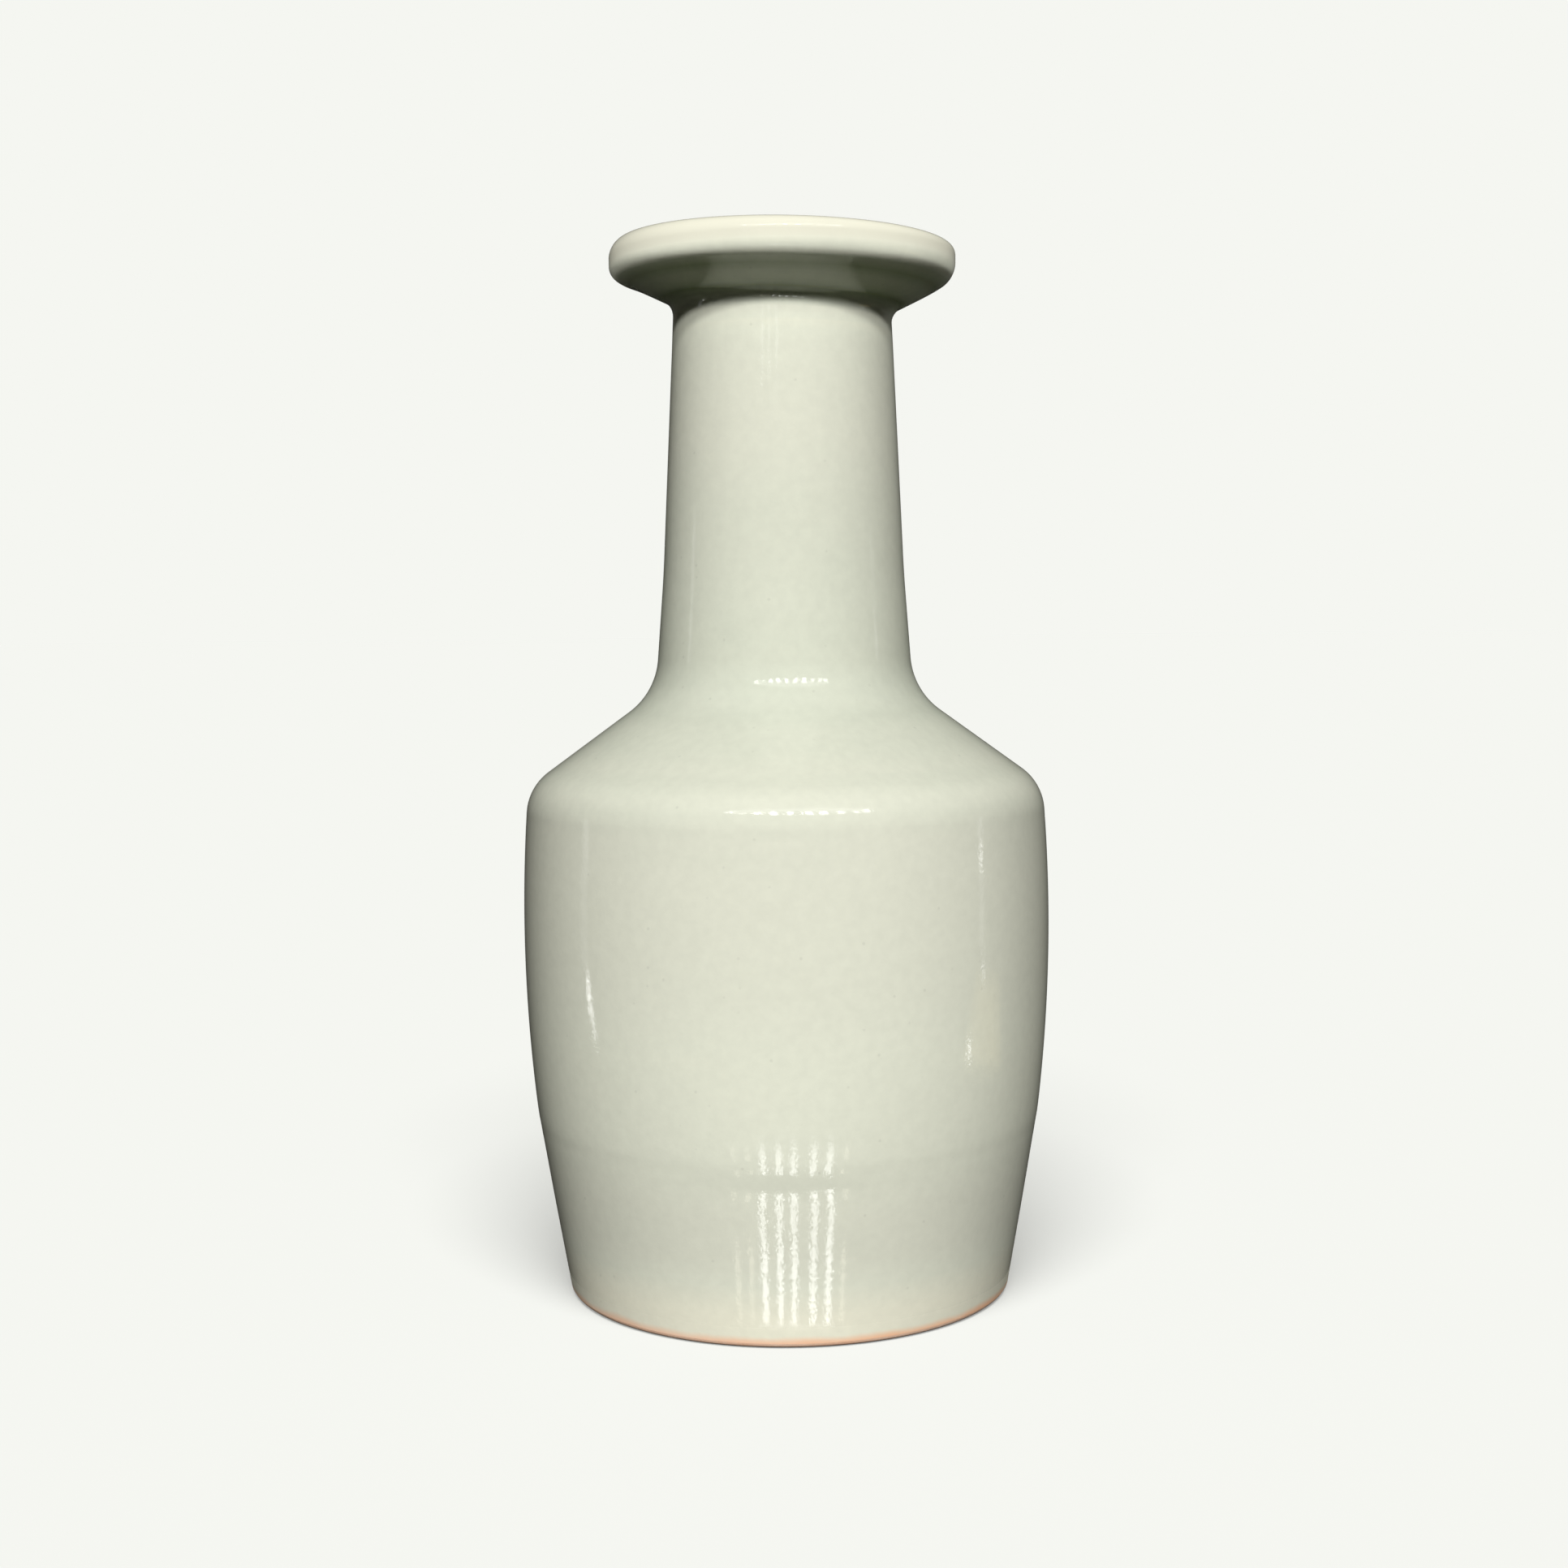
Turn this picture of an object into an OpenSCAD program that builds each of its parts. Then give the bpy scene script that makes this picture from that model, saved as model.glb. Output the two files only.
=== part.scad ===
// Mallet vase in pale celadon: a tall neck with a dish mouth on a straight-sided body.
// It is thrown in sections, luted with slip, glazed inside and out, and bare at the foot.
// Every wall is a profile turned about Z, in millimetres, with the table at z = 0.

/* [Foot] */
// Diameter of the foot where it meets the table
foot_d = 105.8; // [102:0.2:110]
// Width of the ring that the vase stands on
foot_ring_w = 8; // [6:0.5:10]
// Depth of the hollow under the base, inside the foot ring
foot_recess = 5; // [3:0.5:8]
// Height of the bare bevel on the edges of the foot ring
bevel_h = 1.2; // [0.8:0.1:2]
// Width of that bevel
bevel_w = 0.45; // [0.2:0.05:0.8]

/* [Body] */
// Height of the luting seam round the lower body
seam_h = 40.7; // [32:0.1:50]
// Diameter of the glazed wall at that seam
seam_d = 120.4; // [117:0.1:124]
// Height of the soft step at the seam
seam_band_h = 3.7; // [2.5:0.1:6]
// How far the wall moves out across the step
seam_step = 0.8; // [0.6:0.05:1.2]
// Rounding of the step's two edges
seam_round = 4; // [1:0.5:8]
// Diameter at which the belly's lower and upper tangents meet
belly_d = 129.6; // [126:0.1:134]
// Height from the seam to where those tangents meet
belly_rise = 38.8; // [34:0.1:44]
// Radius of the belly's long curve
belly_round = 397; // [200:1:500]
// Diameter of the sharp corner that the shoulder is rounded from
shoulder_d = 123.7; // [120:0.1:127]
// Height from the seam to that corner
shoulder_rise = 81; // [70:0.1:95]
// Rounding of the shoulder's edge
shoulder_round = 13.1; // [8:0.1:18]

/* [Neck] */
// Diameter of the corner between shoulder and neck
neck_base_d = 62; // [58:0.1:68]
// Height from the shoulder's corner to the neck's corner
neck_base_rise = 22.4; // [16:0.1:30]
// Rounding of the sweep from shoulder to neck
neck_base_round = 17.2; // [10:0.1:20]
// Diameter of the neck where its flare ends
neck_flare_d = 57.7; // [55:0.1:61]
// Height of that flare
neck_flare_h = 28; // [22:0.1:36]
// Radius of the flare's long curve
neck_flare_round = 300; // [150:1:500]
// Diameter of the neck just under the mouth
neck_top_d = 51.8; // [49:0.1:55]
// Height of the neck, from its lower corner to the underside of the mouth
neck_h = 90.9; // [80:0.1:110]
// Rounding under the mouth
neck_top_round = 2.4; // [1:0.1:3.4]

/* [Mouth] */
// Diameter of the dish mouth
mouth_d = 81.8; // [77:0.1:88]
// Height of the mouth, from the top of the neck to the lip
mouth_h = 15; // [12:0.1:18]
// Height of the upright edge of the lip
lip_h = 7.4; // [6:0.1:9]
// Rounding below that edge
lip_under_round = 4; // [1:0.1:5]
// Rounding of the lip
lip_round = 3.4; // [2:0.1:3.5]
// Thickness of the clay lip
lip_w = 5.4; // [4.6:0.1:6.4]
// Rounding where the dish meets the lip
dish_round = 1.5; // [0.8:0.1:3]

/* [Walls] */
// Thickness of the clay in the body and shoulder
body_wall = 5.6; // [4.6:0.1:7]
// Thickness of the clay in the neck
neck_wall = 4.6; // [4:0.1:5.5]
// Thickness of the clay in the dish
dish_wall = 3.6; // [3:0.1:4.4]
// Thickness of the base disc
base_t = 6.5; // [4:0.1:9]
// Rounding of the coil pressed into the corner of the floor
coil_round = 8; // [4:0.1:14]

/* [Glaze] */
// Thickness of the outer glaze
glaze_t = 0.8; // [0.5:0.05:1.2]
// Thickness of the outer glaze at its lower edge, above the foot
glaze_edge_t = 0.3; // [0.2:0.05:0.5]
// Thickness of the glaze inside
inner_glaze_t = 0.5; // [0.3:0.05:0.8]
// Thickness of the glaze under the base
base_glaze_t = 0.5; // [0.3:0.05:0.8]

/* [Joints] */
// Thickness of the slip between two sections
slip_t = 0.4; // [0.2:0.05:0.8]
// Width of the groove cut round each lower edge
groove_w = 2.4; // [1.6:0.1:3]
// Depth of that groove
groove_d = 1.5; // [0.8:0.1:2.4]
// Distance of the shoulder joint below the shoulder's corner
shoulder_joint_drop = 9; // [7.5:0.1:16]
// Distance of the neck joint above the neck's lower corner
neck_joint_rise = 12; // [10.5:0.1:20]
// Distance of the mouth joint below the top of the neck
mouth_joint_drop = 5; // [4:0.1:12]

/* [Hidden] */
$fn = 96;

clay_shade = "#c9966a";
slip_shade = "#dcbf9c";
glaze_shade = "#dfe2cc";

// Largest turn and longest chord of one step along an arc
arc_turn = 6;
arc_chord = 8;
arc_least = 3;
// Share of an edge that the roundings at its two ends may use
edge_share = 0.98;
least_round = 0.3;

// Heights that the sections are stacked to
shoulder_z = seam_h + shoulder_rise;
neck_base_z = shoulder_z + neck_base_rise;
neck_top_z = neck_base_z + neck_h;
height = neck_top_z + mouth_h;
shoulder_joint_z = shoulder_z - shoulder_joint_drop;
neck_joint_z = neck_base_z + neck_joint_rise;
mouth_joint_z = neck_top_z - mouth_joint_drop;
base_z = foot_recess + slip_t;
floor_z = base_z + base_t;

foot_r = foot_d / 2;
foot_inner_r = foot_r - foot_ring_w;
bevel_r = foot_r + bevel_w;
mouth_r = mouth_d / 2;
lip_mid_r = mouth_r - glaze_t - lip_w / 2;
lip_inner_r = mouth_r - glaze_t - lip_w;
clay_top_z = height - glaze_t;

function cross2(a, b) = a[0] * b[1] - a[1] * b[0];
function unit(v) = v / norm(v);
function heading(a, b) = unit([b[0] - a[0], b[1] - a[1]]);
function right_of(u) = [u[1], -u[0]];
function backwards(list) = [for (i = [len(list) - 1 : -1 : 0]) list[i]];
function tail(list, first) = [for (i = [first : len(list) - 1]) list[i]];
function repeated(value, count) = [for (i = [1 : count]) value];

// Signed turn of a path at its corner i, in degrees, positive to the left
function turn_at(path, i) =
    let (u = heading(path[i - 1], path[i]), v = heading(path[i], path[i + 1]))
    atan2(cross2(u, v), u * v);

// Length that the rounding at corner i takes from each of its edges, before any limit
function wanted_cut(path, i) =
    i <= 0 || i >= len(path) - 1 ? 0 : path[i][2] * tan(abs(turn_at(path, i)) / 2);

// The same length, limited where two roundings share one short edge
function cut(path, i) =
    let (here = wanted_cut(path, i),
         before = norm([path[i][0] - path[i - 1][0], path[i][1] - path[i - 1][1]]),
         after = norm([path[i + 1][0] - path[i][0], path[i + 1][1] - path[i][1]]))
    here * min(1, edge_share * before / (wanted_cut(path, i - 1) + here),
               edge_share * after / (here + wanted_cut(path, i + 1)));

// Points of the arc that rounds corner i of a path of corners [r, z, rounding]
function corner_arc(path, i) =
    let (turn = turn_at(path, i),
         u = heading(path[i - 1], path[i]),
         reach = cut(path, i),
         radius = reach / tan(abs(turn) / 2),
         start = [path[i][0], path[i][1]] - u * reach,
         centre = start - right_of(u) * radius * sign(turn),
         from = atan2(start[1] - centre[1], start[0] - centre[0]),
         length = radius * abs(turn) * PI / 180,
         steps = max(arc_least, ceil(abs(turn) / arc_turn), ceil(length / arc_chord)))
    [for (k = [0 : steps]) centre + radius * [cos(from + turn * k / steps), sin(from + turn * k / steps)]];

// Whole outline of a path of corners, with an arc at each rounded one
function rounded(path) =
    [for (i = [0 : len(path) - 1])
        each (i == 0 || i == len(path) - 1 || path[i][2] == 0
              ? [[path[i][0], path[i][1]]] : corner_arc(path, i))];

// Where the edges with normals n and m meet after moving in by a and b from corner p
function moved_corner(p, n, a, m, b) =
    let (c = p[0] * n[0] + p[1] * n[1] - a, d = p[0] * m[0] + p[1] * m[1] - b, k = cross2(n, m))
    [(c * m[1] - d * n[1]) / k, (d * n[0] - c * m[0]) / k];

// A path moved to its left, each edge by its own distance, with the roundings to suit
function inset(path, by) =
    [for (i = [0 : len(path) - 1])
        let (last = len(path) - 1,
             a = by[max(i - 1, 0)],
             b = by[min(i, last - 1)],
             n = right_of(heading(path[max(i - 1, 0)], path[max(i, 1)])),
             m = right_of(heading(path[min(i, last - 1)], path[min(i + 1, last)])),
             corner = i == 0 || i == last ? [path[i][0], path[i][1]] - n * a
                                          : moved_corner(path[i], n, a, m, b),
             bend = i == 0 || i == last ? 0 : sign(turn_at(path, i)),
             round = path[i][2] == 0 ? 0 : max(least_round, path[i][2] - bend * (a + b) / 2))
        [corner[0], corner[1], round]];

// Radius of a rising outline at height z
function radius_at(outline, z) =
    [for (i = [0 : len(outline) - 2])
        let (a = outline[i], b = outline[i + 1])
        if (a[1] < b[1] && a[1] <= z && z <= b[1])
            a[0] + (b[0] - a[0]) * (z - a[1]) / (b[1] - a[1])][0];

// Stretch of a rising outline between two heights, and the stretch above a height
function between(outline, low, high) =
    concat([[radius_at(outline, low), low]],
           [for (p = outline) if (p[1] > low && p[1] < high) p],
           [[radius_at(outline, high), high]]);
function above(outline, low) =
    concat([[radius_at(outline, low), low]], [for (p = outline) if (p[1] > low) p]);

// Corners of the glazed surface, from the edge of the glaze to the middle of the lip
glaze_corners = [
    [bevel_r + glaze_edge_t, bevel_h, 0],
    [(seam_d - seam_step) / 2, seam_h - seam_band_h / 2, seam_round],
    [(seam_d + seam_step) / 2, seam_h + seam_band_h / 2, seam_round],
    [belly_d / 2, seam_h + belly_rise, belly_round],
    [shoulder_d / 2, shoulder_z, shoulder_round],
    [neck_base_d / 2, neck_base_z, neck_base_round],
    [neck_flare_d / 2, neck_base_z + neck_flare_h, neck_flare_round],
    [neck_top_d / 2, neck_top_z, neck_top_round],
    [mouth_r, height - lip_h, lip_under_round],
    [mouth_r, height, lip_round],
    [lip_mid_r, height, 0]];

// Corners of the clay under that glaze, from the standing edge of the foot upwards
clay_corners = concat(
    [[foot_r, 0, 0], [bevel_r, bevel_h, 0]],
    tail(inset(glaze_corners, repeated(glaze_t, len(glaze_corners) - 1)), 1));

// Corners of the clay inside, with one wall for the body, one for the neck and one for the dish
mouth_corner = len(clay_corners) - 3;
wall_corners = inset([for (i = [1 : mouth_corner]) clay_corners[i]],
                     concat(repeated(body_wall, 5), repeated(neck_wall, 2), [dish_wall]));
throat = wall_corners[len(wall_corners) - 2];
dish_edge = wall_corners[len(wall_corners) - 1];
dish_slope = (dish_edge[1] - throat[1]) / (dish_edge[0] - throat[0]);
seat_r = wall_corners[0][0] + (wall_corners[1][0] - wall_corners[0][0])
         * (floor_z - wall_corners[0][1]) / (wall_corners[1][1] - wall_corners[0][1]);
inside_corners = concat(
    [[0, floor_z, 0], [seat_r, floor_z, coil_round]],
    [for (i = [1 : len(wall_corners) - 2]) wall_corners[i]],
    [[lip_inner_r, throat[1] + dish_slope * (lip_inner_r - throat[0]), dish_round],
     [lip_inner_r, clay_top_z, lip_round - glaze_t],
     [lip_mid_r, clay_top_z, 0]]);
inner_edges = len(inside_corners) - 1;

glaze_outline = rounded(glaze_corners);
clay_outline = rounded(clay_corners);
inside_outline = rounded(inside_corners);
// The wall of the lower section runs straight down behind the coil to its seat
wall_outline = rounded(concat([[seat_r, floor_z, 0]], tail(inside_corners, 2)));
inner_glaze_outline = rounded(inset(inside_corners,
                                    concat(repeated(inner_glaze_t, inner_edges - 1), [glaze_t])));

disc_r = seat_r - slip_t;

// The groove round the lower edge of a joint at height z, from outside in, lifted for the upper edge
function groove(z, lift) =
    let (middle = (radius_at(clay_outline, z) + radius_at(wall_outline, z)) / 2)
    [[middle + groove_w / 2, z + lift], [middle, z + lift - groove_d], [middle - groove_w / 2, z + lift]];

// A turned wall between the joints at two heights
module wall_section(low, high) {
    rotate_extrude()
        polygon(concat(between(clay_outline, low + slip_t, high),
                       groove(high, 0),
                       backwards(between(wall_outline, low + slip_t, high)),
                       backwards(groove(low, slip_t))));
}

// The film of slip in the joint at height z
module slip_ring(z) {
    rotate_extrude()
        polygon(concat(between(clay_outline, z, z + slip_t),
                       groove(z, slip_t),
                       backwards(between(wall_outline, z, z + slip_t)),
                       backwards(groove(z, 0))));
}

// Lower body, turned in one with the foot ring and the ledge that the base sits on
module lower_body() {
    color(clay_shade)
        rotate_extrude()
            polygon(concat(between(clay_outline, 0, seam_h),
                           groove(seam_h, 0),
                           backwards(between(wall_outline, floor_z, seam_h)),
                           [[seat_r, foot_recess],
                            [foot_inner_r, foot_recess],
                            [foot_inner_r, bevel_h],
                            [foot_inner_r + bevel_w, 0]]));
}

// Base, a disc dropped onto the ledge inside the foot
module base_disc() {
    color(clay_shade)
        translate([0, 0, base_z])
            cylinder(r = disc_r, h = base_t);
}

// Slip under and round the base disc, with the coil pressed into the corner of the floor
module base_luting() {
    color(slip_shade)
        rotate_extrude()
            polygon(concat([[foot_inner_r, foot_recess],
                            [seat_r, foot_recess],
                            [seat_r, floor_z]],
                           backwards(corner_arc(inside_corners, 1)),
                           [[disc_r, floor_z],
                            [disc_r, base_z],
                            [foot_inner_r, base_z]]));
}

// Slip in the seam round the lower body
module belly_luting() {
    color(slip_shade)
        slip_ring(seam_h);
}

// Upper body, the tall wall from the seam to just under the shoulder
module upper_body() {
    color(clay_shade)
        wall_section(seam_h, shoulder_joint_z);
}

// Slip under the shoulder
module shoulder_luting() {
    color(slip_shade)
        slip_ring(shoulder_joint_z);
}

// Shoulder, with the sweep that rises into the neck
module shoulder() {
    color(clay_shade)
        wall_section(shoulder_joint_z, neck_joint_z);
}

// Slip under the neck
module neck_luting() {
    color(slip_shade)
        slip_ring(neck_joint_z);
}

// Neck, a tall tapering cylinder
module neck() {
    color(clay_shade)
        wall_section(neck_joint_z, mouth_joint_z);
}

// Slip under the mouth
module mouth_luting() {
    color(slip_shade)
        slip_ring(mouth_joint_z);
}

// Dish mouth, with its sloping underside and upright lip
module dish_mouth() {
    color(clay_shade)
        rotate_extrude()
            polygon(concat(above(clay_outline, mouth_joint_z + slip_t),
                           tail(backwards(above(inside_outline, mouth_joint_z + slip_t)), 1),
                           backwards(groove(mouth_joint_z, slip_t))));
}

// Glaze over the outside, from its edge above the foot to the middle of the lip
module outer_glaze() {
    color(glaze_shade)
        rotate_extrude()
            polygon(concat(glaze_outline, backwards(tail(clay_outline, 1))));
}

// Glaze over the inside, from the floor to the middle of the lip
module inner_glaze() {
    color(glaze_shade)
        rotate_extrude()
            polygon(concat(inner_glaze_outline, backwards(inside_outline)));
}

// Glaze under the base and down the inner side of the foot ring
module base_glaze() {
    color(glaze_shade)
        rotate_extrude()
            polygon([[0, base_z - base_glaze_t],
                     [foot_inner_r - base_glaze_t, base_z - base_glaze_t],
                     [foot_inner_r - base_glaze_t, bevel_h],
                     [foot_inner_r, bevel_h],
                     [foot_inner_r, base_z],
                     [0, base_z]]);
}

lower_body();
base_disc();
base_luting();
belly_luting();
upper_body();
shoulder_luting();
shoulder();
neck_luting();
neck();
mouth_luting();
dish_mouth();
outer_glaze();
inner_glaze();
base_glaze();
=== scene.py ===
import math

import bpy
import numpy as np
from mathutils import Matrix, Vector


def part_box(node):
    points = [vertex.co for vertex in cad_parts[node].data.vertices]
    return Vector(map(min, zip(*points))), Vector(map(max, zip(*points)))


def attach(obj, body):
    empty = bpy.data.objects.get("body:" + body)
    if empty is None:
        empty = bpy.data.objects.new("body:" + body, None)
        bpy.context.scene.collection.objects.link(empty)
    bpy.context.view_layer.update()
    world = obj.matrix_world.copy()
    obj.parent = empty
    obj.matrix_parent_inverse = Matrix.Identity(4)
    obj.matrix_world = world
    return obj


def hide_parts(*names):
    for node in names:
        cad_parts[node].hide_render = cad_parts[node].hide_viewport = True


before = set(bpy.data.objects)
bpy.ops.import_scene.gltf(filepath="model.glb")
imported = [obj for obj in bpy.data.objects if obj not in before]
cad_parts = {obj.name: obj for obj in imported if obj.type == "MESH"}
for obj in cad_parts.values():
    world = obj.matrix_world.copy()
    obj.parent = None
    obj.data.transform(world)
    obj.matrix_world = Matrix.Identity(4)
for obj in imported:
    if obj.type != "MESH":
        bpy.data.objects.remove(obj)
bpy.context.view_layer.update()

# Lower body
# The flaring wall from the table to the seam, thrown in orange stoneware and turned in one with the foot.
# Glaze covers it all but the rim that it stands on, which was wiped clean and fired to a peachy orange.
mm = 0.001

glaze_thickness = 0.8 * mm
body_wall = 5.6 * mm
bevel_height = 1.2 * mm
bevel_radius = 53.35 * mm
foot_radius = 52.9 * mm
foot_rim_round = 1.6 * mm
foot_inner_radius = 44.9 * mm
foot_inner_bevel = 0.5 * mm
foot_inner_round = 0.3 * mm
foot_recess = 5.0 * mm
foot_recess_round = 0.4 * mm
standing_radius = foot_inner_radius + 3.0 * mm
floor_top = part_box("base_disc")[1].z
seam_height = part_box("lower_body")[1].z
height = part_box("outer_glaze")[1].z
turn_columns = 256
sharp_edge = math.radians(35)

# Radius, height and rounding at each corner of the glazed outside, from the foot to the middle of the lip
glaze_corners = mm * np.array([
    [53.42, 1.2, 0.0],
    [59.95, 38.85, 20.0],
    [60.5, 42.55, 20.0],
    [64.8, 79.5, 397.0],
    [61.85, 121.7, 13.1],
    [31.0, 144.1, 17.2],
    [28.85, 172.1, 300.0],
    [25.9, 235.0, 4.4],
    [41.1, 242.4, 4.0],
    [41.1, 250.0, 3.4],
    [37.6, 250.0, 0.0]])
neck_top = glaze_corners[7, 1]
mouth_radius = glaze_corners[9, 0]


def turn_angles(corners):
    """Signed turn at each inner corner of a path, positive to the left.

    It is the angle whose tangent is the cross product over the dot product of the two edges."""
    edge = np.diff(corners[:, :2], axis=0)
    cross = edge[:-1, 0] * edge[1:, 1] - edge[:-1, 1] * edge[1:, 0]
    return np.arctan2(cross, (edge[:-1] * edge[1:]).sum(axis=1))


def rounded(corners, turn_step=math.radians(2.0), length_step=1.6 * mm):
    """Path of corners (r, z, rounding) as a line of points.

    Each corner becomes the arc of its rounding that touches both edges, at a distance of rounding times
    the tangent of half the turn. Where two arcs want more than the edge between them, both shrink in
    proportion. Arcs and straight stretches are sampled by turn_step and length_step."""
    edge_share = 0.98
    fewest_arc_steps = 4
    turn = turn_angles(corners)
    edge = np.diff(corners[:, :2], axis=0)
    length = np.linalg.norm(edge, axis=1)
    heading = edge / length[:, None]
    wanted = np.zeros(len(corners))
    wanted[1:-1] = corners[1:-1, 2] * np.tan(np.abs(turn) / 2)
    share = np.minimum(1.0, edge_share * length / np.maximum(wanted[:-1] + wanted[1:], 1e-12))
    reach = wanted.copy()
    reach[1:-1] *= np.minimum(share[:-1], share[1:])
    parts = [corners[:1, :2]]
    for corner in range(1, len(corners)):
        ahead = heading[corner - 1]
        start = parts[-1][-1]
        stop = corners[corner, :2] - ahead * reach[corner]
        steps = max(1, math.ceil(np.linalg.norm(stop - start) / length_step))
        parts.append(start + (stop - start) * (np.arange(1, steps + 1) / steps)[:, None])
        if reach[corner] == 0:
            continue
        bend = turn[corner - 1]
        radius = reach[corner] / math.tan(abs(bend) / 2)
        left = np.array([-ahead[1], ahead[0]])
        centre = stop + left * radius * np.sign(bend)
        first = math.atan2(*(stop - centre)[::-1])
        by_turn = math.ceil(abs(bend) / turn_step)
        by_length = math.ceil(radius * abs(bend) / length_step)
        steps = max(fewest_arc_steps, by_turn, by_length)
        angle = first + bend * np.arange(1, steps + 1) / steps
        parts.append(centre + radius * np.stack([np.cos(angle), np.sin(angle)], axis=1))
    return np.concatenate(parts)


def inset(corners, by):
    """Path moved to its left, each edge by its own distance.

    A new corner is where the two moved edges cross, found from their normals. Its rounding loses the
    mean distance where the path turns left and gains it where the path turns right."""
    least_round = 0.3 * mm
    by = np.broadcast_to(np.asarray(by, float), (len(corners) - 1,))
    edge = np.diff(corners[:, :2], axis=0)
    heading = edge / np.linalg.norm(edge, axis=1)[:, None]
    normal = np.stack([heading[:, 1], -heading[:, 0]], axis=1)
    moved = corners.copy()
    moved[0, :2] -= normal[0] * by[0]
    moved[-1, :2] -= normal[-1] * by[-1]
    pair = np.stack([normal[:-1], normal[1:]], axis=1)
    level = np.einsum("ijk,ik->ij", pair, corners[1:-1, :2]) - np.stack([by[:-1], by[1:]], axis=1)
    moved[1:-1, :2] = np.linalg.solve(pair, level[..., None])[..., 0]
    less = np.sign(turn_angles(corners)) * (by[:-1] + by[1:]) / 2
    moved[1:-1, 2] = np.where(corners[1:-1, 2] == 0, 0, np.maximum(corners[1:-1, 2] - less, least_round))
    return moved


def cut_between(line, low, high):
    """Stretch of a rising line of (r, z) points between two heights, with its ends on those heights."""
    inside = line[(line[:, 1] > low) & (line[:, 1] < high)]
    ends = [[np.interp(z, line[:, 1], line[:, 0]), z] for z in (low, high)]
    return np.concatenate([ends[:1], inside, ends[1:]])


def turned(name, line, shape=None):
    """Surface of a line of (r, z) points turned about Z: x = r cos a and y = r sin a, on a grid.

    The line runs with the material on its left. It closes on itself, or starts and ends on the axis,
    where one vertex closes each pole. shape, if given, moves the whole array of points."""
    has_poles = line[0, 0] == 0 and line[-1, 0] == 0
    ring = line[1:-1] if has_poles else line
    columns = turn_columns
    angle = np.arange(columns) * (2 * math.pi / columns)
    points = np.stack([
        ring[:, :1] * np.cos(angle),
        ring[:, :1] * np.sin(angle),
        np.repeat(ring[:, 1:], columns, axis=1)], axis=-1).reshape(-1, 3)
    rows = len(ring)
    row = np.arange(rows - 1 if has_poles else rows)[:, None]
    column = np.arange(columns)[None, :]
    above = (row + 1) % rows
    beside = (column + 1) % columns
    quads = np.stack([row * columns + column, row * columns + beside,
                      above * columns + beside, above * columns + column], axis=-1).reshape(-1, 4)
    faces = quads.tolist()
    if has_poles:
        first = len(points)
        last = first + 1
        top = (rows - 1) * columns
        points = np.concatenate([points, [[0, 0, line[0, 1]], [0, 0, line[-1, 1]]]])
        faces += np.stack([np.full(columns, first), beside[0], column[0]], axis=-1).tolist()
        faces += np.stack([top + column[0], top + beside[0], np.full(columns, last)], axis=-1).tolist()
    if shape is not None:
        points = shape(points)
    mesh = bpy.data.meshes.new(name)
    mesh.from_pydata(points.tolist(), [], faces)
    mesh.polygons.foreach_set("use_smooth", np.ones(len(mesh.polygons), bool))
    mesh.set_sharp_from_angle(angle=sharp_edge)
    piece = bpy.data.objects.new(name, mesh)
    bpy.context.scene.collection.objects.link(piece)
    return piece


clay_corners = np.concatenate([
    [[foot_radius, 0.0, foot_rim_round], [bevel_radius, bevel_height, 0.0]],
    inset(glaze_corners, glaze_thickness)[1:]])
wall_corners = inset(clay_corners[1:7], body_wall)
clay_line = rounded(np.concatenate([[[standing_radius, 0.0, 0.0]], clay_corners]))
wall_line = rounded(wall_corners)
seat_radius = np.interp(floor_top, wall_corners[:2, 1], wall_corners[:2, 0])
outer_part = clay_line[1:]
seam_radius = np.interp(seam_height, outer_part[:, 1], outer_part[:, 0])
foot_ring_line = rounded(np.array([
    [seat_radius, foot_recess, 0.0],
    [foot_inner_radius, foot_recess, foot_recess_round],
    [foot_inner_radius, bevel_height / 2, foot_recess_round],
    [foot_inner_radius + foot_inner_bevel, 0.0, foot_inner_round],
    [standing_radius, 0.0, 0.0]]))
lower_line = np.concatenate([
    foot_ring_line,
    outer_part[outer_part[:, 1] < seam_height],
    [[seam_radius, seam_height]],
    cut_between(wall_line, floor_top, seam_height)[::-1],
    [[seat_radius, floor_top]]])


def srgb(red, green, blue):
    """Linear colour of an 8-bit screen colour."""
    screen = np.array([red, green, blue]) / 255
    linear = np.where(screen <= 0.04045, screen / 12.92, ((screen + 0.055) / 1.055) ** 2.4)
    return (*linear.tolist(), 1.0)


def add_node(tree, kind, settings=None, **values):
    """New shader node with its settings and with its inputs by name, or by number as i0, i1 and so on.

    An input gets a value, or a link where the value is another node's socket."""
    made = tree.nodes.new(kind)
    for key, value in (settings or {}).items():
        setattr(made, key, value)
    for key, value in values.items():
        named = [socket for socket in made.inputs if socket.enabled and socket.name.replace(" ", "_") == key]
        target = named[0] if named else made.inputs[int(key.lstrip("i"))]
        if isinstance(value, bpy.types.NodeSocket):
            tree.links.new(value, target)
        else:
            target.default_value = value
    return made


def new_group(name, inputs, outputs):
    """Empty shader node group with named float inputs and named outputs, and its two end nodes."""
    tree = bpy.data.node_groups.new(name, "ShaderNodeTree")
    for key, value in inputs.items():
        socket = tree.interface.new_socket(name=key, in_out="INPUT", socket_type="NodeSocketFloat")
        socket.default_value = value
    for key, kind in outputs.items():
        tree.interface.new_socket(name=key, in_out="OUTPUT", socket_type=kind)
    return tree, tree.nodes.new("NodeGroupInput").outputs, tree.nodes.new("NodeGroupOutput").inputs


def add_noise(tree, place, scale, detail):
    """Socket of a noise texture at a place, with a scale and a detail."""
    return add_node(tree, "ShaderNodeTexNoise", Vector=place, Scale=scale, Detail=detail).outputs["Fac"]


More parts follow.
